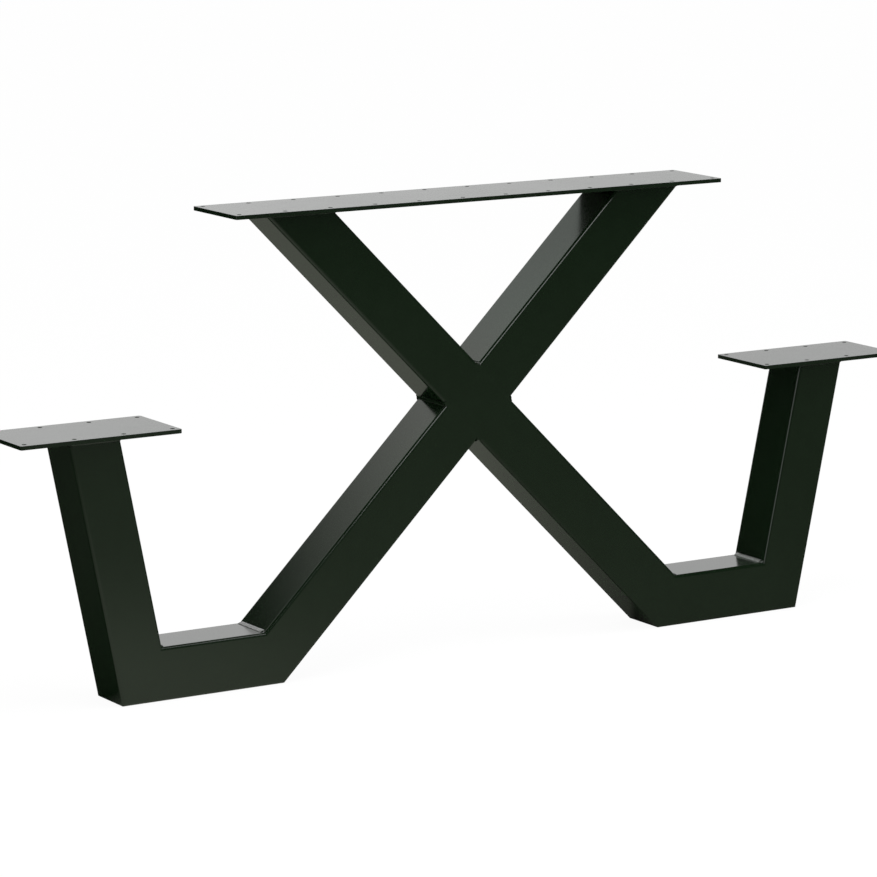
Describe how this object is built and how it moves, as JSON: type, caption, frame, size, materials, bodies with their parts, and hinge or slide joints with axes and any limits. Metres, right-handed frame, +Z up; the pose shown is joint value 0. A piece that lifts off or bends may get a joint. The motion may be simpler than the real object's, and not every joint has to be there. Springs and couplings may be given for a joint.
{
  "type": "table leg",
  "caption": "Welded X-shaped picnic table leg of square steel tube, with flat plates that carry the table top and the seats.",
  "frame": {"origin": "on the floor, under the middle of the frame", "axes": "+X along the frame from seat to seat, +Y through its depth from the front to the back, +Z up"},
  "size_m": [1.5464, 0.127, 0.7],
  "materials": {
    "black_powder_coat": "satin black powder coat"
  },
  "bodies": {
    "root": {"top_plate": "black_powder_coat", "seat_plate_left": "black_powder_coat", "seat_plate_right": "black_powder_coat", "diagonal_through": "black_powder_coat", "diagonal_lower_half": "black_powder_coat", "diagonal_upper_half": "black_powder_coat", "base_tube_left": "black_powder_coat", "base_tube_right": "black_powder_coat", "upright_left": "black_powder_coat", "upright_right": "black_powder_coat", "crossing_weld_lower": "black_powder_coat", "crossing_weld_upper": "black_powder_coat", "top_weld_left": "black_powder_coat", "top_weld_right": "black_powder_coat", "seat_weld_left": "black_powder_coat", "seat_weld_right": "black_powder_coat", "foot_weld_outer_left": "black_powder_coat", "foot_weld_outer_right": "black_powder_coat", "foot_weld_inner_left": "black_powder_coat", "foot_weld_inner_right": "black_powder_coat"}
  },
  "joints": []
}
